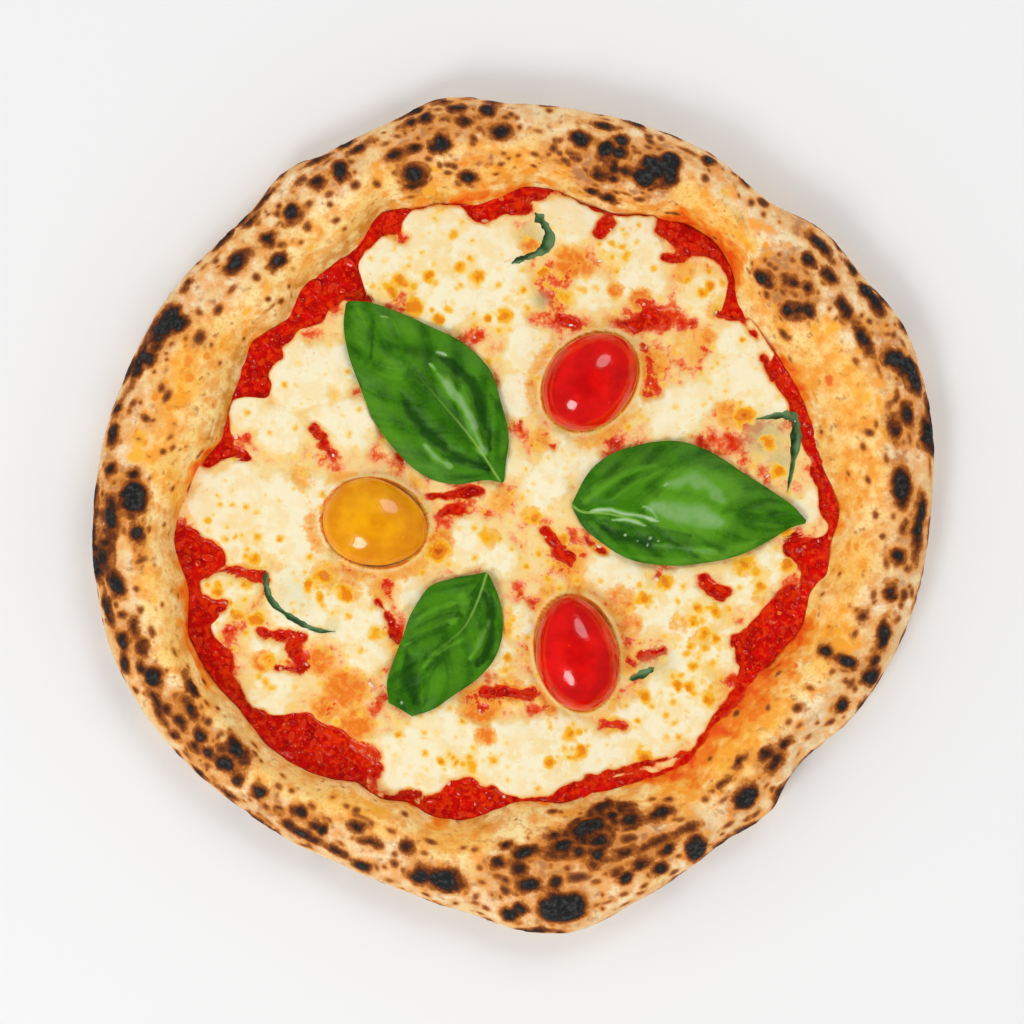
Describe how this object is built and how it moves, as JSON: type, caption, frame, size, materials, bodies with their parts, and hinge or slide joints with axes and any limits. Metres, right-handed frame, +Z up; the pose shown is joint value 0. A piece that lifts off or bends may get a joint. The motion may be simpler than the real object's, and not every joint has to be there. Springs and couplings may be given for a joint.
{
  "type": "margherita pizza",
  "caption": "Whole wood-fired margherita pizza with a puffed, charred crust, tomato sauce, melted mozzarella, halved cherry tomatoes and basil leaves.",
  "frame": {"origin": "on the table, under the middle of the pizza's outline", "axes": "+Z up out of the pizza's top; +Y towards the side where the two upper toppings lie, +X to the right of it seen from above"},
  "size_m": [0.2786, 0.2771, 0.0237],
  "materials": {
    "baked_dough": "baked wheat dough, dry and floury, with brown and charred spots",
    "tomato_sauce": "crushed tomato, wet and lumpy",
    "melted_cheese": "melted mozzarella, soft sheen, with toasted blisters and orange oil",
    "red_tomato_skin": "smooth wet tomato skin",
    "yellow_tomato_skin": "smooth, slightly wrinkled tomato skin",
    "fresh_basil": "fresh leaf, waxy, with sunken veins",
    "baked_basil": "wilted dark leaf under cheese"
  },
  "bodies": {
    "root": {"crust": "baked_dough", "tomato_sauce": "tomato_sauce", "mozzarella": "melted_cheese", "red_tomato_upper": "red_tomato_skin", "red_tomato_lower": "red_tomato_skin", "yellow_tomato": "yellow_tomato_skin", "basil_leaf_left": "fresh_basil", "basil_leaf_right": "fresh_basil", "basil_leaf_lower": "fresh_basil", "baked_basil_top": "baked_basil", "baked_basil_right": "baked_basil", "baked_basil_left": "baked_basil", "baked_basil_lower": "baked_basil"}
  },
  "joints": []
}
